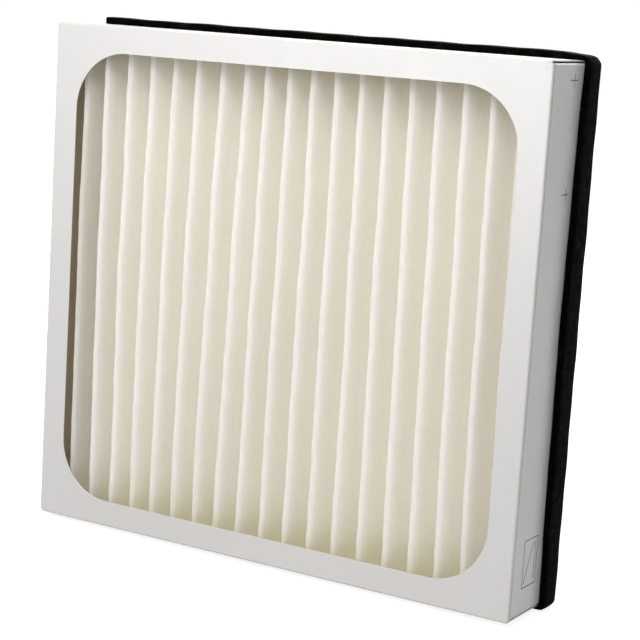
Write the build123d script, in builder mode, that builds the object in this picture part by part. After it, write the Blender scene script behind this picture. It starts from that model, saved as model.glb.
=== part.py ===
from build123d import *
from math import acos, atan2, hypot, sin, tan
import os

# Framed pleated air filter panel, standing upright on its bottom edge.
# X runs across its width, Y from the front (-Y) to the back (+Y), Z up.
# The origin is at the middle of the bottom of the whole panel. Millimetres.

# Outside of the folded card frame
panel_width = 310.0
panel_height = 290.0
panel_depth = 52.0

# Card sheet and its folds
card = 0.7
fold_inside_radius = 0.5
window_side_border = 15.5
window_top_border = 15.0
window_radius = 33.0
flange_width = 14.0
mitre_gap = 0.6

# Corner tabs, folded from the ends of the side walls and tucked under the top and bottom walls
tab_length = 24.0
tab_drop = 1.5
tab_side_gap = 1.0
tab_trim = 6.0

# Filter paper, folded into pleats that run from top to bottom
paper = 0.6
pleat_pitch = 15.3
pleat_fold_radius = 2.1
crest_setback = 4.0
foot_length = 7.0
paper_foot_gap = 0.3

# Beds of set glue that hold the ends of the pleats
bed_thickness = 4.0
bed_margin = 0.8
bed_end_gap = 1.2

# Foam sealing tape round the outside of the frame at its back edge
seal_thickness = 4.0
seal_pressed_thickness = 2.0
seal_width = 17.0
seal_corner_width = 13.0
seal_top_corner_radius = 10.0
seal_bottom_corner_radius = 7.0
seal_start = 5.5
seal_end_drop = 0.5

# Places worked out from the sizes above
fold_outside_radius = fold_inside_radius + card
half_width = panel_width / 2
half_depth = panel_depth / 2
bottom = seal_pressed_thickness
top = bottom + panel_height
middle = (bottom + top) / 2
inner_half_width = half_width - card
wall_end = half_width - fold_outside_radius

os.makedirs("parts", exist_ok=True)

# Card frame: window panel at the front, four walls, back flanges and corner tabs, all one sheet.
# A wall's section is a channel: the edge of the front panel, the wall and the back flange.
with BuildPart() as card_frame:
    with BuildSketch(Plane.XZ.offset(half_depth)):
        with Locations((0, middle)):
            Rectangle(2 * wall_end, panel_height - 2 * fold_outside_radius)
            RectangleRounded(
                panel_width - 2 * window_side_border,
                panel_height - 2 * window_top_border,
                window_radius,
                mode=Mode.SUBTRACT,
            )
    extrude(amount=-card)

    # Top and bottom walls, from one side fold to the other
    for edge, inward in ((top, -1), (bottom, 1)):
        with BuildSketch(Plane.YZ.offset(-wall_end)):
            with BuildLine():
                channel = FilletPolyline(
                    (-half_depth, edge + inward * 2 * fold_outside_radius),
                    (-half_depth, edge),
                    (half_depth, edge),
                    (half_depth, edge + inward * flange_width),
                    radius=fold_outside_radius,
                )
                offset(channel, amount=card, side=Side.RIGHT if inward < 0 else Side.LEFT)
            make_face()
        extrude(amount=2 * wall_end)

    # Side walls, cut back at both ends where the corner tabs fold in
    side_wall_length = panel_height - 2 * fold_outside_radius
    side_flat_length = panel_height - 2 * (tab_drop + fold_outside_radius)
    wall_flat_depth = panel_depth - 2 * fold_outside_radius
    for side in (-1, 1):
        with BuildSketch(Plane.XY.offset(bottom + fold_outside_radius)):
            with BuildLine():
                channel = FilletPolyline(
                    (side * (half_width - 2 * fold_outside_radius), -half_depth),
                    (side * half_width, -half_depth),
                    (side * half_width, half_depth),
                    (side * (half_width - flange_width), half_depth),
                    radius=fold_outside_radius,
                )
                offset(channel, amount=card, side=Side.LEFT if side > 0 else Side.RIGHT)
            make_face()
        extrude(amount=side_wall_length)
        with BuildSketch(Plane.YZ.offset(side * inner_half_width)):
            with Locations((0, middle)):
                Rectangle(wall_flat_depth, side_wall_length)
                Rectangle(wall_flat_depth, side_flat_length, mode=Mode.SUBTRACT)
        extrude(amount=side * card, mode=Mode.SUBTRACT)

    # Corner tabs with their trimmed free corners
    tab_width = wall_flat_depth - 2 * tab_side_gap
    for side in (-1, 1):
        for edge, inward in ((top, -1), (bottom, 1)):
            tab_face = edge + inward * tab_drop
            tab_tip = side * (half_width - tab_length)
            with BuildSketch(Plane.XZ.offset(tab_width / 2)):
                with BuildLine():
                    corner = FilletPolyline(
                        (side * half_width, tab_face + inward * 2 * fold_outside_radius),
                        (side * half_width, tab_face),
                        (tab_tip, tab_face),
                        radius=fold_outside_radius,
                    )
                    offset(corner, amount=card, side=Side.LEFT if side * inward < 0 else Side.RIGHT)
                make_face()
            extrude(amount=-tab_width)
            with BuildSketch(Plane.XY.offset(tab_face)):
                for front in (-1, 1):
                    with BuildLine():
                        Polyline(
                            (tab_tip, front * tab_width / 2),
                            (tab_tip + side * tab_trim, front * tab_width / 2),
                            (tab_tip, front * (tab_width / 2 - tab_trim)),
                            close=True,
                        )
                    make_face()
            extrude(amount=inward * card, mode=Mode.SUBTRACT)

    # Mitred joints of the back flanges
    mitre_length = 2 * (flange_width + mitre_gap) * 2 ** 0.5
    with BuildSketch(Plane.XZ.offset(-half_depth)):
        for side in (-1, 1):
            for edge, inward in ((top, -1), (bottom, 1)):
                with Locations((side * half_width, edge)):
                    Rectangle(mitre_length, mitre_gap, rotation=45 * side * -inward)
    extrude(amount=fold_outside_radius, mode=Mode.SUBTRACT)

card_frame.part.label = "card_frame"
export_step(card_frame.part, "parts/card_frame.step")

# Glue beds, thicker between the corner tabs than under them
bed_half_width = inner_half_width - bed_end_gap
tab_clear_half_width = half_width - tab_length - bed_end_gap
crest_front = -half_depth + card + crest_setback
paper_back = half_depth - card - paper_foot_gap
bed_front = crest_front - bed_margin
bed_depth = half_depth - fold_outside_radius - bed_front


def glue_bed_outline(edge, inward):
    """Outline of a bed seen from the front, stepped round the corner tabs."""
    wall_face = edge + inward * card
    tab_under = edge + inward * (tab_drop + card)
    pleat_face = wall_face + inward * bed_thickness
    Polyline(
        (-bed_half_width, pleat_face),
        (bed_half_width, pleat_face),
        (bed_half_width, tab_under),
        (tab_clear_half_width, tab_under),
        (tab_clear_half_width, wall_face),
        (-tab_clear_half_width, wall_face),
        (-tab_clear_half_width, tab_under),
        (-bed_half_width, tab_under),
        close=True,
    )


with BuildPart() as glue_bed_top:
    with BuildSketch(Plane.XZ.offset(-bed_front)):
        with BuildLine():
            glue_bed_outline(top, -1)
        make_face()
    extrude(amount=-bed_depth)

glue_bed_top.part.label = "glue_bed_top"
export_step(glue_bed_top.part, "parts/glue_bed_top.step")

with BuildPart() as glue_bed_bottom:
    with BuildSketch(Plane.XZ.offset(-bed_front)):
        with BuildLine():
            glue_bed_outline(bottom, 1)
        make_face()
    extrude(amount=-bed_depth)

glue_bed_bottom.part.label = "glue_bed_bottom"
export_step(glue_bed_bottom.part, "parts/glue_bed_bottom.step")

# Pleated paper: as many whole pleats as fit between the feet at the two ends of the sheet.
# The flanks lean by the angle at which they run tangent from each front fold to the next back fold.
foot_tip = inner_half_width - bed_end_gap
pleat_count = int(2 * (foot_tip - foot_length) / pleat_pitch)
first_crest = -pleat_pitch * (pleat_count - 1) / 2
pleat_bottom = bottom + card + bed_thickness
pleat_height = panel_height - 2 * (card + bed_thickness)
inside_of_fold = pleat_fold_radius - paper
fold_middle_radius = pleat_fold_radius - paper / 2
flank_reach = paper_back - crest_front - paper - 2 * fold_middle_radius
flank_lean = acos(2 * fold_middle_radius / hypot(pleat_pitch / 2, flank_reach)) - atan2(
    flank_reach, pleat_pitch / 2
)

# Corner points of the front face of the sheet, before its folds are rounded
front_corner = crest_front - pleat_fold_radius * (1 / sin(flank_lean) - 1)
back_corner = paper_back - paper + inside_of_fold * (1 / sin(flank_lean) - 1)
foot_face = paper_back - paper
foot_corner = -first_crest + (foot_face - front_corner) * tan(flank_lean)

fold_points = [(-foot_tip, foot_face), (-foot_corner, foot_face)]
fold_radii = [inside_of_fold]
for pleat in range(pleat_count):
    crest = first_crest + pleat * pleat_pitch
    fold_points.append((crest, front_corner))
    fold_radii.append(pleat_fold_radius)
    if pleat < pleat_count - 1:
        fold_points.append((crest + pleat_pitch / 2, back_corner))
        fold_radii.append(inside_of_fold)
fold_points += [(foot_corner, foot_face), (foot_tip, foot_face)]
fold_radii.append(inside_of_fold)

with BuildPart() as pleated_media:
    with BuildSketch(Plane.XY.offset(pleat_bottom)):
        with BuildLine():
            front_face = FilletPolyline(*fold_points, radius=fold_radii)
            offset(front_face, amount=paper, side=Side.LEFT)
        make_face()
    extrude(amount=pleat_height)

pleated_media.part.label = "pleated_media"
export_step(pleated_media.part, "parts/pleated_media.step")

# Foam seal: a strip round the four outer faces, narrower where it is stretched round the corners
seal_half_width = half_width + seal_thickness
seal_top = top + seal_thickness
seal_side_height = seal_top - (bottom - seal_pressed_thickness)
seal_front_at_middle = half_depth - seal_width
seal_front_at_corner = half_depth - seal_corner_width

with BuildPart() as foam_seal:
    with BuildSketch(Plane.XZ.offset(-half_depth)) as strip:
        with Locations((0, seal_side_height / 2)):
            Rectangle(2 * seal_half_width, seal_side_height)
        fillet(strip.vertices().group_by(Axis.Y)[-1], seal_top_corner_radius)
        fillet(strip.vertices().group_by(Axis.Y)[0], seal_bottom_corner_radius)
        with Locations((0, middle)):
            Rectangle(panel_width, panel_height, mode=Mode.SUBTRACT)
    extrude(amount=seal_width)

    # Front edge of the strip, bowed on each of the four faces
    for side in (-1, 1):
        with BuildSketch(Plane.YZ.offset(side * half_width)):
            with BuildLine():
                ThreePointArc(
                    (seal_front_at_corner, 0),
                    (seal_front_at_middle, middle),
                    (seal_front_at_corner, seal_top),
                )
                Polyline(
                    (seal_front_at_corner, seal_top),
                    (-half_depth, seal_top),
                    (-half_depth, 0),
                    (seal_front_at_corner, 0),
                )
            make_face()
        extrude(amount=side * seal_thickness, mode=Mode.SUBTRACT)
    for edge, outward in ((top, seal_thickness), (bottom, -seal_pressed_thickness)):
        with BuildSketch(Plane.XY.offset(edge)):
            with BuildLine():
                ThreePointArc(
                    (-seal_half_width, seal_front_at_corner),
                    (0, seal_front_at_middle),
                    (seal_half_width, seal_front_at_corner),
                )
                Polyline(
                    (seal_half_width, seal_front_at_corner),
                    (seal_half_width, -half_depth),
                    (-seal_half_width, -half_depth),
                    (-seal_half_width, seal_front_at_corner),
                )
            make_face()
        extrude(amount=outward, mode=Mode.SUBTRACT)

    # Open corner at the top left, where the two ends of the strip stop short of each other
    with BuildSketch(Plane.XZ.offset(-half_depth)):
        with Locations((-half_width + seal_start, top - seal_end_drop)):
            Rectangle(
                seal_start + seal_thickness,
                seal_thickness + seal_end_drop,
                align=(Align.MAX, Align.MIN),
            )
    extrude(amount=seal_width, mode=Mode.SUBTRACT)

foam_seal.part.label = "foam_seal"
export_step(foam_seal.part, "parts/foam_seal.step")
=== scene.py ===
"""Looks of a pleated air filter panel.

White folded card frame, cream filter paper in deep pleats, black foam sealing tape round the back
edge, beds of set glue at both ends of the pleats. Metres; X across the width, Y from the window side
to the back, Z up along the pleats.
"""

import math

import bpy
import numpy as np
from mathutils import Matrix


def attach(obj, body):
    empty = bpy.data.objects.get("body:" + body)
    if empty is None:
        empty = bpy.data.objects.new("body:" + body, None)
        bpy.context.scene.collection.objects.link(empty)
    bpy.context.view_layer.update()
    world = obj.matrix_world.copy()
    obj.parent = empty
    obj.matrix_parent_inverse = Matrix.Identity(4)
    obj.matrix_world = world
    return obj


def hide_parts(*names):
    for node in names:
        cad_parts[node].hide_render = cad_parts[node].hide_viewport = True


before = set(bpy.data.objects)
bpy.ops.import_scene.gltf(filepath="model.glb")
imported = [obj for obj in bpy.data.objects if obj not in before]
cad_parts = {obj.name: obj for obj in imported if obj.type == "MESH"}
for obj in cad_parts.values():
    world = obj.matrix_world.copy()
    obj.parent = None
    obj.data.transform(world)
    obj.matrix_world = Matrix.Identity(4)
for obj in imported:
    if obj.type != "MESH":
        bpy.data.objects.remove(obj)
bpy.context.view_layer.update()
scene = bpy.context.scene

# Sizes of the panel, the same as those of its solids
half_width = 0.155
half_depth = 0.026
card_bottom = 0.002
card_top = 0.292
mid_height = (card_bottom + card_top) / 2
half_height = (card_top - card_bottom) / 2
# Corner tabs: how far they lie below the end walls' outside and how far they reach in from the sides
tab_drop = 0.0015
tab_length = 0.024

# Pleated paper, from its front folds' crests to its back, with a flat foot out to both ends
crest_count = 19
pleat_pitch = 0.0153
paper_thickness = 0.0006
fold_radius = 0.0021
crest_front = -0.0213
paper_back = 0.0250
foot_end = 0.1530
paper_bottom = 0.0060
paper_top = 0.2880

# The front folds stand aside of their even places in one slow wave across the pack, in metres: its
# mean, cosine and sine parts at the bottom, in the middle and at the top
lean_bottom = (-0.0006, 0.0020, -0.0008)
lean_middle = (-0.0010, 0.0006, 0.0000)
lean_top = (-0.0004, -0.0002, 0.0019)
# The first fold stands further in towards the top
first_fold_in = 0.0015
# So do two folds left of the middle
folds_in = 0.0021
folds_in_at = 6.7

# Small unevenness of the folds: how many waves over the height, and how large
wander_waves = ((1.7, 0.00018), (3.9, 0.00016), (8.5, 0.00014), (17.0, 0.00012))
push_waves, push_size = 2.3, 0.00035
belly_waves, belly_size = 1.3, 0.0005

# Foam sealing tape
foam_thickness = 0.0040
foam_pressed = 0.0020
foam_width = 0.0178
foam_corner_width = 0.0142
foam_top_radius = 0.0055
foam_bottom_radius = 0.0035
# It starts at this X on the top wall, goes round and stops at this Z on the left wall
foam_start = -0.1495
foam_stop = 0.2915
# Its rows stand closer over the first length on both sides of a corner and fan out over the second
foam_close_rows = 0.016
foam_fan = 0.009
# It is pulled thin by this share, over these lengths before and after the first corner
foam_thinning = 0.34
thin_before = 0.015
thin_after = 0.004
# Roundness of its section: near 0 is a square block, 1 is an ellipse
foam_roundness = 0.28
# Waves along its front edge and its outer face: radians to the metre, size, phase
foam_edge_waves = ((61.0, 0.00025, 0.0), (173.0, 0.00015, 0.7))
foam_face_waves = ((210.0, 0.00012, 0.0), (97.0, 0.00010, 1.3))
# Ways in which its four runs face, as shares of X and Z: up, right, down, left
run_outward = np.array([[0.0, 1.0], [1.0, 0.0], [0.0, -1.0], [-1.0, 0.0]])

# Print on the right wall, as depths and heights
ink_stroke = 0.00060
ink_lift = 0.00003
cross_middle = 0.0015
cross_ends = (-0.0035, 0.0050)
cross_half_height = 0.0030
cross_heights = (0.2820, 0.2240)
box_depths = (-0.0125, 0.0038)
box_heights = (0.0180, 0.0435)
box_diagonal = ((-0.0110, 0.0200), (-0.0010, 0.0415))
box_upright = ((0.0012, 0.0210), (0.0012, 0.0405))


# Shape helpers

def grid_faces(rows, columns, close_columns=False):
    """Four-sided faces of a grid of points numbered row by row.

    Face (i, j) joins point (i, j) to its next neighbours in both directions; closed columns also join
    the last point of each row to its first.
    """
    i = np.arange(rows - 1)
    j = np.arange(columns if close_columns else columns - 1)
    i, j = np.meshgrid(i, j, indexing="ij")
    next_j = (j + 1) % columns
    this_row = i * columns
    next_row = this_row + columns
    corners = (this_row + j, next_row + j, next_row + next_j, this_row + next_j)
    return np.stack([c.ravel() for c in corners], axis=1)


def make_piece(name, points, faces, material, smooth=True):
    """Mesh object at the origin from an array of points and a list of face corner arrays."""
    mesh = bpy.data.meshes.new(name)
    mesh.from_pydata(points.tolist(), [], [f.tolist() for f in faces])
    mesh.update()
    mesh.polygons.foreach_set("use_smooth", np.full(len(mesh.polygons), smooth))
    mesh.materials.append(material)
    piece = bpy.data.objects.new(name, mesh)
    scene.collection.objects.link(piece)
    return piece


def smooth_step(x):
    """0 below 0, 1 above 1, and 3 x^2 - 2 x^3 in between."""
    x = np.clip(x, 0.0, 1.0)
    return x * x * (3.0 - 2.0 * x)


def ripple(at, waves):
    """Sum of a few sines along a line, each given by its radians to the metre, size and phase."""
    return sum(size * np.sin(at * rate + phase) for rate, size, phase in waves)


# Material helpers

def new_material(name):
    """Material, its node tree and its principled shader, which is its surface."""
    material = bpy.data.materials.new(name)
    material.use_nodes = True
    tree = material.node_tree
    tree.nodes.clear()
    tree.nodes.new("ShaderNodeOutputMaterial")
    surface = tree.nodes.new("ShaderNodeBsdfPrincipled")
    set_surface(tree, surface)
    return material, tree, surface


def set_surface(tree, shader):
    """The shader becomes the surface of the tree's material."""
    output = next(node for node in tree.nodes if node.type == "OUTPUT_MATERIAL")
    tree.links.new(shader.outputs[0], output.inputs["Surface"])


def place(tree):
    """Object coordinates."""
    return tree.nodes.new("ShaderNodeTexCoord").outputs["Object"]


def parts(tree, where):
    """The X, Y and Z of a place."""
    node = tree.nodes.new("ShaderNodeSeparateXYZ")
    tree.links.new(where, node.inputs[0])
    return node.outputs[0], node.outputs[1], node.outputs[2]


def calc(tree, operation, a, b=0.0):
    """One Math node; a and b are numbers or sockets."""
    node = tree.nodes.new("ShaderNodeMath")
    node.operation = operation
    for socket, value in zip(node.inputs, (a, b)):
        if isinstance(value, (int, float)):
            socket.default_value = value
        else:
            tree.links.new(value, socket)
    return node.outputs[0]


def product(tree, value, *factors):
    """The value times each factor in turn."""
    for factor in factors:
        value = calc(tree, "MULTIPLY", value, factor)
    return value


def ramp(tree, value, low, high, out_low=0.0, out_high=1.0):
    """Value carried smoothly from low..high to out_low..out_high and held outside."""
    node = tree.nodes.new("ShaderNodeMapRange")
    node.interpolation_type = "SMOOTHSTEP"
    tree.links.new(value, node.inputs[0])
    for socket, number in zip(list(node.inputs)[1:5], (low, high, out_low, out_high)):
        socket.default_value = number
    return node.outputs[0]


def noise(tree, where, scale, detail=3.0, roughness=0.5, stretch=(1.0, 1.0, 1.0)):
    """Noise with so many cells to the metre, stretched along the axes."""
    mapping = tree.nodes.new("ShaderNodeMapping")
    mapping.inputs["Scale"].default_value = stretch
    tree.links.new(where, mapping.inputs["Vector"])
    node = tree.nodes.new("ShaderNodeTexNoise")
    node.inputs["Scale"].default_value = scale
    node.inputs["Detail"].default_value = detail
    node.inputs["Roughness"].default_value = roughness
    tree.links.new(mapping.outputs[0], node.inputs["Vector"])
    return node.outputs[0]


def mix(tree, share, a, b):
    """Colour a where share is 0 and b where it is 1; a and b are colours or sockets."""
    node = tree.nodes.new("ShaderNodeMix")
    node.data_type = "RGBA"
    for socket, value in ((node.inputs[0], share), (node.inputs[6], a), (node.inputs[7], b)):
        if isinstance(value, tuple):
            socket.default_value = (*value, 1.0)
        else:
            tree.links.new(value, socket)
    return node.outputs[2]


def bump(tree, height, distance, strength, under=None):
    """Bump of so many metres for a height from 0 to 1, on top of another bump."""
    node = tree.nodes.new("ShaderNodeBump")
    node.inputs["Distance"].default_value = distance
    node.inputs["Strength"].default_value = strength
    tree.links.new(height, node.inputs["Height"])
    if under is not None:
        tree.links.new(under, node.inputs["Normal"])
    return node.outputs[0]


def directly_seen(tree):
    """1 for rays from the camera, off a glossy face or through a clear body, 0 for all others."""
    rays = tree.nodes.new("ShaderNodeLightPath")
    seen = calc(tree, "MAXIMUM", rays.outputs["Is Camera Ray"], rays.outputs["Is Glossy Ray"])
    return calc(tree, "MAXIMUM", seen, rays.outputs["Is Transmission Ray"])


# Finishes

def card_regions(tree, where):
    """Shares from 0 to 1 of the cut edges, the bare inside, the folds, the creases pressed along them
    and the wrinkles at the knocked corner; the last two carry painted shade."""
    x, y, z = parts(tree, where)
    # Height over each outer face: 0 on the laminate, minus the card's thickness on the inside
    side = calc(tree, "SUBTRACT", calc(tree, "ABSOLUTE", x), half_width)
    front = calc(tree, "SUBTRACT", calc(tree, "MULTIPLY", y, -1.0), half_depth)
    back = calc(tree, "SUBTRACT", y, half_depth)
    off_middle = calc(tree, "ABSOLUTE", calc(tree, "SUBTRACT", z, mid_height))
    end = calc(tree, "SUBTRACT", off_middle, half_height)
    wall = calc(tree, "MAXIMUM", side, end)
    face = calc(tree, "MAXIMUM", wall, calc(tree, "MAXIMUM", front, back))
    # The corner tabs lie a little below the end walls; their outside and the end wall's underside
    # over them are pale
    over_tab = ramp(tree, end, -tab_drop - 0.0006, -tab_drop - 0.0004)
    along_tab = ramp(tree, side, -tab_length - 0.0030, -tab_length - 0.0020)
    off_tab = calc(tree, "SUBTRACT", 1.0, product(tree, over_tab, along_tab))
    edge = product(tree, ramp(tree, face, -0.00010, -0.00004, 1.0, 0.0), off_tab)
    inside = product(tree, ramp(tree, face, -0.00062, -0.00030, 1.0, 0.0), off_tab)
    # A fold runs where the front and a wall are both near their outer level
    fold = ramp(tree, calc(tree, "MINIMUM", wall, front), -0.0013, -0.0004)
    # A pressed crease runs along each fold, 1.6 mm behind the front; the dark line painted on it is
    # painted shade
    from_crease = calc(tree, "ABSOLUTE", calc(tree, "ADD", front, 0.00160))
    on_wall = ramp(tree, wall, -0.00025, -0.00010)
    crease = product(tree, ramp(tree, from_crease, 0.00025, 0.00065, 1.0, 0.0), on_wall)
    # The top right front corner has been knocked: painted shade of small wrinkles, grey patches within a
    # few millimetres of it
    near_right = ramp(tree, x, half_width - 0.009, half_width)
    near_top = ramp(tree, z, card_top - 0.006, card_top)
    near_front = ramp(tree, y, -half_depth + 0.002, -half_depth + 0.012, 1.0, 0.0)
    wrinkle = ramp(tree, noise(tree, where, 420.0, 3.0, 0.6), 0.44, 0.56)
    knocked = product(tree, near_right, near_top, near_front, wrinkle)
    return edge, inside, fold, crease, knocked


def card_finish():
    """White laminated card: semi-gloss outside, pale cut edges, bare grey-brown board inside, paler
    cracked lines on the folds, painted shade along the pressed creases and in the wrinkles at the knocked
    corner."""
    material, tree, surface = new_material("white laminated card")
    where = place(tree)
    edge, inside, fold, crease, knocked = card_regions(tree, where)
    cloud = noise(tree, where, 9.0, 2.0)
    fibre = noise(tree, where, 700.0, 3.0, 0.6)
    scuff = noise(tree, where, 160.0, 5.0, 0.65, (1.0, 1.0, 0.35))
    worn = product(tree, fold, ramp(tree, scuff, 0.48, 0.66))
    hairs = product(tree, ramp(tree, fibre, 0.45, 0.75), 0.10)
    # Laminate
    colour = mix(tree, cloud, (0.806, 0.786, 0.764), (0.844, 0.824, 0.802))
    colour = mix(tree, hairs, colour, (0.72, 0.70, 0.67))
    colour = mix(tree, product(tree, worn, 0.5), colour, (0.89, 0.885, 0.875))
    # Painted shade: a dark grey line along each pressed crease
    colour = mix(tree, product(tree, crease, 0.70), colour, (0.40, 0.39, 0.38))
    # Painted shade: grey patches for the small wrinkles at the knocked corner
    colour = mix(tree, product(tree, knocked, 0.8), colour, (0.50, 0.50, 0.52))
    # Cut edge, then the bare inside
    pulp = mix(tree, fibre, (0.90, 0.88, 0.85), (0.80, 0.78, 0.74))
    board = mix(tree, fibre, (0.36, 0.30, 0.225), (0.50, 0.43, 0.335))
    colour = mix(tree, edge, colour, pulp)
    colour = mix(tree, inside, colour, board)
    tree.links.new(colour, surface.inputs["Base Color"])
    gloss = ramp(tree, scuff, 0.3, 0.7, 0.30, 0.40)
    gloss = calc(tree, "ADD", gloss, product(tree, edge, 0.45))
    gloss = calc(tree, "ADD", gloss, product(tree, worn, 0.15))
    tree.links.new(gloss, surface.inputs["Roughness"])
    surface.inputs["Specular IOR Level"].default_value = 0.9
    wave = bump(tree, noise(tree, where, 60.0, 2.0), 0.00012, 0.5)
    rough = bump(tree, fibre, 0.00003, 0.6, wave)
    pressed = bump(tree, product(tree, crease, -1.0), 0.00015, 0.6, rough)
    tree.links.new(bump(tree, worn, 0.00008, 0.5, pressed), surface.inputs["Normal"])
    return material


def paper_finish():
    """Cream filter paper: soft, translucent, faint fibres, long creases that run with the pleats."""
    light_through = 0.52
    material, tree, surface = new_material("cream filter paper")
    where = place(tree)
    x, y, z = parts(tree, where)
    cloud = noise(tree, where, 22.0, 3.0, 0.5, (1.0, 1.0, 0.5))
    fibre = noise(tree, where, 1400.0, 1.0, 0.6)
    mottle = noise(tree, where, 260.0, 2.0, 0.6)
    crease = noise(tree, where, 120.0, 2.0, 0.6, (1.0, 1.0, 0.12))
    # The pressed fold is painted whiter than the flanks beside it as a painted highlight, and its border
    # is uneven; deeper in, the flanks are painted lighter, painted light that lifts the shade inside the
    # pleats
    uneven = product(tree, calc(tree, "SUBTRACT", mottle, 0.5), 0.005)
    flank = ramp(tree, calc(tree, "ADD", y, uneven), crest_front + 0.0022, crest_front + 0.0066)
    deep = ramp(tree, y, crest_front + 0.008, crest_front + 0.028)
    blotch = product(tree, ramp(tree, mottle, 0.45, 0.7), 0.15)
    fold = mix(tree, cloud, (0.944, 0.925, 0.902), (0.962, 0.945, 0.926))
    colour = mix(tree, cloud, (0.930, 0.914, 0.862), (0.950, 0.936, 0.892))
    # Painted light: the flanks lighter deeper in the pleats, where less light reaches
    colour = mix(tree, deep, colour, (0.975, 0.960, 0.915))
    colour = mix(tree, flank, fold, colour)
    colour = mix(tree, blotch, colour, (0.88, 0.83, 0.74))
    # Painted shade near the ends of the pleats, by the frame and the glue beds: darker and yellower a
    # little way up, less at the top, with a ragged border
    off_middle = calc(tree, "ABSOLUTE", calc(tree, "SUBTRACT", z, mid_height))
    from_end = calc(tree, "SUBTRACT", half_height, off_middle)
    ragged = product(tree, noise(tree, where, 90.0, 3.0), 0.010)
    painted_end_shade = ramp(tree, calc(tree, "ADD", from_end, ragged), 0.016, 0.036, 0.50, 0.0)
    painted_end_shade = product(tree, painted_end_shade, ramp(tree, z, 0.10, 0.20, 1.0, 0.4))
    colour = mix(tree, painted_end_shade, colour, (0.870, 0.860, 0.720))
    # Painted light: the two pleats nearest the side walls, stuck down beside them, are painted lighter and
    # a little warmer to lift their shade
    outermost_painted_light = ramp(tree, calc(tree, "ABSOLUTE", x), 0.1300, 0.1400, 0.0, 0.80)
    colour = mix(tree, outermost_painted_light, colour, (0.985, 0.955, 0.900))
    tree.links.new(colour, surface.inputs["Base Color"])
    surface.inputs["Roughness"].default_value = 0.92
    surface.inputs["Specular IOR Level"].default_value = 0.2
    # Heights in units of 0.2 mm: long creases, soft mottle, fine fibres
    relief = calc(tree, "ADD", product(tree, crease, 1.05), product(tree, mottle, 0.55))
    relief = calc(tree, "ADD", relief, product(tree, fibre, 0.14))
    skin = bump(tree, relief, 0.0002, 1.0)
    tree.links.new(skin, surface.inputs["Normal"])
    # Light that comes through the thin sheet from behind
    through = tree.nodes.new("ShaderNodeBsdfTranslucent")
    tree.links.new(colour, through.inputs["Color"])
    tree.links.new(skin, through.inputs["Normal"])
    both = tree.nodes.new("ShaderNodeMixShader")
    both.inputs[0].default_value = light_through
    tree.links.new(surface.outputs[0], both.inputs[1])
    tree.links.new(through.outputs[0], both.inputs[2])
    set_surface(tree, both)
    return material


def foam_finish():
    """Black open-cell foam: tiny pores, dull skin, faint grey dust on the raised cells."""
    material, tree, surface = new_material("black foam")
    where = place(tree)
    cells = tree.nodes.new("ShaderNodeTexVoronoi")
    cells.inputs["Scale"].default_value = 1100.0
    tree.links.new(where, cells.inputs["Vector"])
    pore = ramp(tree, cells.outputs["Distance"], 0.15, 0.60)
    lumps = noise(tree, where, 240.0, 4.0, 0.6)
    dust = product(tree, ramp(tree, noise(tree, where, 150.0, 3.0, 0.6), 0.56, 0.72), 0.6)
    colour = mix(tree, pore, (0.0005, 0.0005, 0.0005), (0.0016, 0.0016, 0.0015))
    colour = mix(tree, dust, colour, (0.0130, 0.0120, 0.0110))
    tree.links.new(colour, surface.inputs["Base Color"])
    tree.links.new(ramp(tree, lumps, 0.3, 0.7, 0.72, 0.95), surface.inputs["Roughness"])
    surface.inputs["Specular IOR Level"].default_value = 0.02
    body = bump(tree, lumps, 0.0005, 0.6)
    tree.links.new(bump(tree, pore, 0.0003, 0.7, body), surface.inputs["Normal"])
    return material


def glue_finish():
    """Set hot-melt glue: waxy, pale amber, a few trapped bubbles."""
    material, tree, surface = new_material("set glue")
    where = place(tree)
    cloud = noise(tree, where, 60.0, 3.0)
    bubble = noise(tree, where, 420.0, 2.0)
    colour = mix(tree, cloud, (0.78, 0.69, 0.47), (0.86, 0.80, 0.62))
    tree.links.new(colour, surface.inputs["Base Color"])
    tree.links.new(ramp(tree, cloud, 0.3, 0.7, 0.30, 0.48), surface.inputs["Roughness"])
    surface.inputs["Subsurface Weight"].default_value = 0.3
    surface.inputs["Subsurface Radius"].default_value = (1.0, 0.8, 0.5)
    surface.inputs["Subsurface Scale"].default_value = 0.002
    lumpy = bump(tree, cloud, 0.0008, 0.6)
    tree.links.new(bump(tree, bubble, 0.0002, 0.5, lumpy), surface.inputs["Normal"])
    return material


def ink_finish():
    """Thin dark grey print, slightly uneven."""
    material, tree, surface = new_material("grey print")
    patch = noise(tree, place(tree), 900.0, 4.0, 0.6)
    colour = mix(tree, patch, (0.10, 0.10, 0.10), (0.22, 0.22, 0.22))
    tree.links.new(colour, surface.inputs["Base Color"])
    tree.links.new(ramp(tree, patch, 0.3, 0.7, 0.40, 0.55), surface.inputs["Roughness"])
    tree.links.new(bump(tree, patch, 0.00002, 0.5), surface.inputs["Normal"])
    return material


# Shapes

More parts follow.
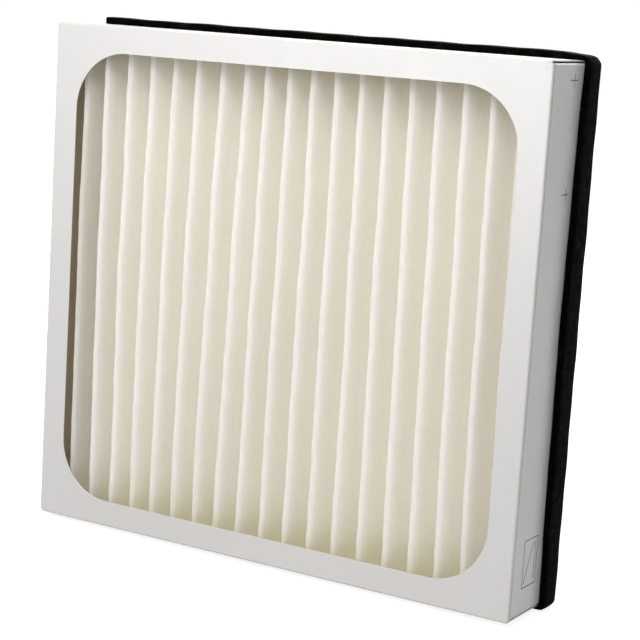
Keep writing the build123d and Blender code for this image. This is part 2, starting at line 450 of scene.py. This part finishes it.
def folded_line(columns_on_arc=7, columns_on_flank=7, columns_on_foot=8):
    """Section of the folded sheet, from left to right: how far across and how deep each point lies,
    and its place in the row of folds, counted from 0.

    The line is a chain of arcs of one radius, back fold, front fold, back fold and so on, joined by
    straight flanks that touch both arcs; it starts and ends with a flat foot at the back.
    """
    radius = fold_radius - paper_thickness / 2
    front_y = crest_front + fold_radius
    back_y = paper_back - fold_radius
    foot_y = back_y + radius
    half_pitch = pleat_pitch / 2
    reach = math.hypot(half_pitch, back_y - front_y)
    lean = math.atan2(half_pitch, back_y - front_y) - math.asin(2 * radius / reach)
    quarter = math.pi / 2 - lean
    last_fold = 2 * crest_count
    first_x = -(crest_count - 1) / 2 * pleat_pitch - half_pitch
    on_flank = np.linspace(0.0, 1.0, columns_on_flank + 2)[1:-1]

    foot = np.linspace(-foot_end, first_x, columns_on_foot)[:-1]
    across, depth, fold_at = [foot], [np.full(len(foot), foot_y)], [np.zeros(len(foot))]
    for fold in range(last_fold + 1):
        if fold == 0:
            angle = np.linspace(0.0, quarter, columns_on_arc // 2 + 1)
        elif fold == last_fold:
            angle = np.linspace(-quarter, 0.0, columns_on_arc // 2 + 1)
        else:
            angle = np.linspace(-quarter, quarter, columns_on_arc)
        arc_x = first_x + fold * half_pitch + radius * np.sin(angle)
        if fold % 2:
            arc_y = front_y - radius * np.cos(angle)
        else:
            arc_y = back_y + radius * np.cos(angle)
        if fold > 0:
            across.append(across[-1][-1] + (arc_x[0] - across[-1][-1]) * on_flank)
            depth.append(depth[-1][-1] + (arc_y[0] - depth[-1][-1]) * on_flank)
            fold_at.append(fold - 1 + on_flank)
        across.append(arc_x)
        depth.append(arc_y)
        fold_at.append(np.full(len(arc_x), float(fold)))
    foot = np.linspace(across[-1][-1], foot_end, columns_on_foot)[1:]
    across = np.concatenate([*across, foot])
    depth = np.concatenate([*depth, np.full(len(foot), foot_y)])
    fold_at = np.concatenate([*fold_at, np.full(len(foot), float(last_fold))])
    return across, depth, fold_at


def front_fold_leans(up):
    """How far each front fold stands aside of its even place, as rows by front folds: a parabola of
    the height through its lean at the bottom, middle and top, each of which follows a cosine and a sine
    across the pack, and two leans of single folds that grow with the height."""
    around = np.linspace(0.0, 2 * math.pi, crest_count)
    wave = np.stack([np.ones(crest_count), np.cos(around), np.sin(around)])
    bottom, middle, top = np.array([lean_bottom, lean_middle, lean_top]) @ wave
    bend = 2 * (bottom + top - 2 * middle)
    slope = top - bottom - bend
    lean = bottom + slope * up + bend * up ** 2
    lean[:, :1] += first_fold_in * up
    lean += folds_in * np.exp(-(np.arange(crest_count) - folds_in_at) ** 2) * up
    return lean


def pleat_surface(rows=110):
    """Points of the middle of the paper, as rows up the height and columns along the folded sheet.

    Each row is the folded line with its folds shifted: front folds lean aside, every fold wanders by a
    few sines of the height, and front folds come forward and go back by another. Points on a flank
    share the shifts of the two folds they lie between, and belly slightly to one side.
    """
    across, depth, fold_at = folded_line()
    fold_count = 2 * crest_count + 1
    height = np.linspace(paper_bottom, paper_top, rows)[:, None]
    up = (height - paper_bottom) / (paper_top - paper_bottom)
    rng = np.random.default_rng(7)
    phase = rng.uniform(0, 2 * math.pi, (4, fold_count))
    size = rng.uniform(0.4, 1.0, (4, fold_count))
    # Shifts to the side, as rows by folds
    aside = np.zeros((rows, fold_count))
    for k, (waves, amount) in enumerate(wander_waves):
        aside += amount * size[k] * np.sin(2 * math.pi * waves * up + phase[k])
    lean = front_fold_leans(up)
    aside[:, 1::2] += lean
    # Back folds take a third of the mean lean of their neighbours; both ends stay in place
    aside[:, 2:-1:2] += (lean[:, 1:] + lean[:, :-1]) / 6
    aside[:, 0] = 0.0
    aside[:, -1] = 0.0
    # Shifts to the back, as rows by folds
    push = np.zeros((rows, fold_count))
    to_and_fro = 1 + np.sin(2 * math.pi * push_waves * up + phase[1, 1::2])
    push[:, 1::2] = push_size * to_and_fro * size[0, 1::2]
    below = np.floor(fold_at).astype(int)
    above = np.minimum(below + 1, fold_count - 1)
    share = smooth_step(fold_at - below)
    x = across + aside[:, below] * (1 - share) + aside[:, above] * share
    y = depth + push[:, below] * (1 - share) + push[:, above] * share
    belly = belly_size * np.sin(math.pi * (fold_at - below))
    flank_size = rng.uniform(-1, 1, fold_count)[below]
    swell = 0.6 + 0.4 * np.sin(2 * math.pi * belly_waves * up + phase[2][below])
    x = x + belly * flank_size * swell
    z = np.repeat(height, x.shape[1], axis=1)
    return np.stack([x, y, z], axis=-1)


def foam_path(rows=300, rows_at_corner=33):
    """Line on the card that the foam strip follows: each row's distance from the strip's start, its
    share of the run it lies on, its place, which way the foam stands there and how thick it is.

    The foam stands square to the card, and within a short length of a corner it turns evenly from one
    run's way to the next. It fills a ring with round corners, but is pulled thin at the first corner.
    """
    left, right = -half_width, half_width
    bottom, top = card_bottom, card_top
    # Corners of the card, between the strip's start and its end
    inner = np.array([[foam_start, top], [right, top], [right, bottom], [left, bottom], [left, foam_stop]])
    length = np.linalg.norm(np.diff(inner, axis=0), axis=1)
    start = np.concatenate([[0.0], np.cumsum(length)])
    # Extra rows close to the three corners, and one row on each of them
    near = np.linspace(-foam_close_rows, foam_close_rows, rows_at_corner)
    at = [np.linspace(0.0, start[-1], rows), *(corner + near for corner in start[1:4])]
    at = np.unique(np.round(np.concatenate(at), 7))
    run = np.clip(np.searchsorted(start, at, side="right") - 1, 0, 3)
    step = (at - start[run]) / length[run]
    base = inner[run] + (inner[run + 1] - inner[run]) * step[:, None]
    # Square corners of the ring and the middles of their rounds
    outer = half_width + foam_thickness
    under = bottom - foam_pressed
    ring = np.array([[outer, top + foam_thickness], [outer, under], [-outer, under]])
    radius = np.array([foam_top_radius, foam_bottom_radius, foam_bottom_radius])
    centre = ring - np.sign(inner[1:4] - np.array([0.0, mid_height])) * radius[:, None]
    # Way, and reach to the ring
    to_corner = at[:, None] - start[1:4]
    nearest = np.argmin(np.abs(to_corner), axis=1)
    away = to_corner[np.arange(len(at)), nearest]
    fan = np.clip(1.0 - np.abs(away) / foam_fan, 0.0, 1.0)
    turn = np.where(away < 0, 0.5 * fan, 1.0 - 0.5 * fan)[:, None]
    way = run_outward[nearest] * (1 - turn) + run_outward[nearest + 1] * turn
    way = np.where((fan > 0)[:, None], way, run_outward[run])
    way /= np.linalg.norm(way, axis=1, keepdims=True)
    thickness = np.array([foam_thickness, foam_thickness, foam_pressed, foam_thickness])[run]
    reach = ring_reach(base, way, ring[nearest], centre[nearest], radius[nearest])
    reach = np.where(fan > 0, reach, thickness)
    from_first = to_corner[:, 0]
    pulled = 1.0 - np.abs(from_first) / np.where(from_first < 0, thin_before, thin_after)
    reach = reach * (1.0 - foam_thinning * smooth_step(pulled))
    return at, step, base, way, reach


def ring_reach(base, way, ring, centre, radius):
    """How far from base, going way, the outer ring is: the nearer of its two straight sides, or its
    round corner where the point hit lies past the corner's centre on both axes."""
    with np.errstate(divide="ignore", invalid="ignore"):
        straight = np.where(np.abs(way) > 1e-6, (ring - base) / way, np.inf)
    straight = np.where(straight > 0, straight, np.inf).min(axis=1)
    hit = base + way * straight[:, None]
    sign = np.sign(ring - centre)
    past = ((hit - centre) * sign > 0).all(axis=1)
    gap = base - centre
    half = (gap * way).sum(axis=1)
    rest = (gap ** 2).sum(axis=1) - radius ** 2
    curved = -half + np.sqrt(np.maximum(half ** 2 - rest, 0.0))
    return np.where(past, curved, straight)


def foam_strip(columns=28):
    """Foam tape swept round the frame: its section is a rounded block between the card and the outer
    ring, its front edge bows back towards the corners, its face is crowned and slightly wavy. Rows
    follow the strip from its square-cut start, columns go round its section.
    """
    at, step, base, way, reach = foam_path()
    bow = np.sin(math.pi * np.clip(step, 0, 1)) ** 0.8
    width = foam_corner_width + (foam_width - foam_corner_width) * bow + ripple(at, foam_edge_waves)
    # Angle q goes round the section: cosine for its width, sine for its thickness, both squared off
    q = np.linspace(0.0, 2 * math.pi, columns, endpoint=False)
    c, s = np.cos(q), np.sin(q)
    across = np.sign(c) * np.abs(c) ** foam_roundness
    thick = np.sign(s) * np.abs(s) ** foam_roundness
    crown = 0.96 + 0.04 * np.cos(across * math.pi / 2)
    out = thick * 0.5 + 0.5
    out = np.where(thick < 0, out, out * crown)
    wavy = 1 + ripple(at, foam_face_waves)[:, None] / foam_thickness * (out > 0.5)
    lift = reach[:, None] * out * wavy
    y = half_depth - width[:, None] * (0.5 - 0.5 * across)
    xz = base[:, None, :] + way[:, None, :] * lift[..., None]
    points = np.stack([xz[..., 0], y, xz[..., 1]], axis=-1)
    # Both cut ends are closed by a fan of triangles round their middle
    last_row = len(at) - 1
    flat = points.reshape(-1, 3)
    faces = [*grid_faces(len(at), columns, close_columns=True)]
    for row in (0, last_row):
        flat = np.concatenate([flat, points[row].mean(axis=0)[None]])
        rim = np.arange(columns) + row * columns
        next_on_rim = np.roll(rim, -1)
        tip = np.full(columns, len(flat) - 1)
        order = (rim, next_on_rim, tip) if row == last_row else (next_on_rim, rim, tip)
        faces.extend(np.stack(order, axis=1))
    return flat, faces


def side_mark_lines():
    """Ends of the lines printed on the right wall, each a (depth, height): two register crosses and
    an empty outlined box with a diagonal and one upright line in it."""
    lines = []
    for height in cross_heights:
        lines.append([(end, height) for end in cross_ends])
        lines.append([(cross_middle, height + rise) for rise in (cross_half_height, -cross_half_height)])
    for height in box_heights:
        lines.append([(depth, height) for depth in box_depths])
    for depth in box_depths:
        lines.append([(depth, height) for height in box_heights])
    return [*lines, box_diagonal, box_upright]


def printed_lines(lines, stroke):
    """Flat strokes on the right wall: each line is a pair of (depth, height) ends, widened by half a
    stroke to both sides and to both ends, a hair above the card."""
    lines = np.array(lines, float)
    a, b = lines[:, 0], lines[:, 1]
    way = (b - a) / np.linalg.norm(b - a, axis=1, keepdims=True)
    side = np.stack([-way[:, 1], way[:, 0]], axis=1) * stroke / 2
    end = way * stroke / 2
    corners = np.stack([a - end - side, b + end - side, b + end + side, a - end + side], axis=1)
    corners = corners.reshape(-1, 2)
    x = np.full(len(corners), half_width + ink_lift)
    points = np.stack([x, corners[:, 0], corners[:, 1]], axis=1)
    faces = np.arange(len(corners)).reshape(-1, 4)
    return points, faces


# Pieces

def dress(node, material):
    """The piece keeps its solid and takes its finish."""
    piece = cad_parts[node]
    piece.data.materials.clear()
    piece.data.materials.append(material)


glue_material = glue_finish()
dress("card_frame", card_finish())
dress("glue_bed_top", glue_material)
dress("glue_bed_bottom", glue_material)

sheet = pleat_surface()
# Turned round so that the faces look forward
faces = grid_faces(*sheet.shape[:2])[:, ::-1]
pleats = make_piece("pleated_paper", sheet.reshape(-1, 3), faces, paper_finish())
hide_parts("pleated_media")
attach(pleats, "root")

points, faces = foam_strip()
foam = make_piece("foam_strip", points, faces, foam_finish())
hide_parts("foam_seal")
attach(foam, "root")

points, faces = printed_lines(side_mark_lines(), ink_stroke)
side_print = make_piece("side_marks", points, faces, ink_finish(), smooth=False)
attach(side_print, "root")


# Floor, lamps and camera

def white_floor(half_size, level):
    """Pale floor with the panel's shadow on it. It also glows where it is seen directly, nearly white
    far away, so that it runs into the white world without an edge, and a little less close by."""
    corners = ((-1, -1), (1, -1), (1, 1), (-1, 1))
    points = np.array([[half_size * x, half_size * y, level] for x, y in corners])
    material, tree, surface = new_material("pale floor")
    surface.inputs["Base Color"].default_value = (0.42, 0.42, 0.42, 1.0)
    surface.inputs["Roughness"].default_value = 0.9
    distance = tree.nodes.new("ShaderNodeVectorMath")
    distance.operation = "LENGTH"
    tree.links.new(place(tree), distance.inputs[0])
    brightness = ramp(tree, distance.outputs["Value"], 0.25, 1.2, 0.82, 0.97)
    glow = tree.nodes.new("ShaderNodeEmission")
    tree.links.new(product(tree, directly_seen(tree), brightness), glow.inputs["Strength"])
    both = tree.nodes.new("ShaderNodeAddShader")
    tree.links.new(surface.outputs[0], both.inputs[0])
    tree.links.new(glow.outputs[0], both.inputs[1])
    set_surface(tree, both)
    floor = make_piece("floor", points, np.array([[0, 1, 2, 3]]), material, smooth=False)


def white_world(level):
    """Even light of the given level; white where it is seen directly."""
    world = bpy.data.worlds.new("studio")
    scene.world = world
    world.use_nodes = True
    tree = world.node_tree
    tree.nodes.clear()
    output = tree.nodes.new("ShaderNodeOutputWorld")
    sky = tree.nodes.new("ShaderNodeBackground")
    extra = product(tree, directly_seen(tree), 1.0 - level)
    sky.inputs["Color"].default_value = (1.0, 1.0, 1.0, 1.0)
    tree.links.new(calc(tree, "ADD", extra, level), sky.inputs["Strength"])
    tree.links.new(sky.outputs[0], output.inputs["Surface"])


def soft_lamp(name, stand, aim, width, height, watts):
    """Rectangular soft lamp that points from where it stands at the aim."""
    lamp = bpy.data.lights.new(name, "AREA")
    lamp.shape = "RECTANGLE"
    lamp.size = width
    lamp.size_y = height
    lamp.energy = watts
    thing = bpy.data.objects.new(name, lamp)
    scene.collection.objects.link(thing)
    way = np.array(aim, float) - np.array(stand, float)
    way /= np.linalg.norm(way)
    side = np.cross(way, [0.0, 0.0, 1.0])
    side /= np.linalg.norm(side)
    up = np.cross(side, way)
    turn = Matrix(np.stack([side, up, -way], axis=1).tolist()).to_4x4()
    thing.matrix_world = Matrix.Translation(stand) @ turn


white_floor(half_size=6.0, level=-0.0002)
white_world(level=0.20)
# Name, stand, aim, width, height, watts
soft_lamp("key", (0.15, -1.90, 1.20), (0.0, 0.0, 0.15), 1.6, 1.2, 1.5)
soft_lamp("low strip", (-0.75, -2.00, 0.32), (0.0, 0.0, 0.25), 1.2, 0.35, 8.5)
soft_lamp("top", (0.02, -0.44, 0.76), (0.02, 0.0, 0.25), 0.7, 0.25, 3.5)
soft_lamp("side", (1.60, -0.70, 0.70), (0.15, 0.0, 0.15), 1.0, 1.0, 2.3)
soft_lamp("back", (-0.30, 1.40, 0.80), (0.0, 0.0, 0.18), 1.4, 1.0, 19.5)

# The camera stands right of the panel and a little above it, and is rolled by a few degrees
camera_stand = (0.531757, -0.880644, 0.316061)
azimuth = math.radians(30.3587)
elevation = math.radians(9.8172)
roll = math.radians(3.6123)
camera_data = bpy.data.cameras.new("camera")
camera_data.sensor_width = 36.0
camera_data.lens = 105.22
camera_data.clip_start = 0.05
camera_data.clip_end = 50.0
camera = bpy.data.objects.new("camera", camera_data)
scene.collection.objects.link(camera)
swing = Matrix.Rotation(azimuth, 4, "Z")
tilt = Matrix.Rotation(math.pi / 2 - elevation, 4, "X")
camera.matrix_world = Matrix.Translation(camera_stand) @ swing @ tilt @ Matrix.Rotation(roll, 4, "Z")
scene.camera = camera
scene.view_settings.view_transform = "Standard"

bpy.context.view_layer.update()
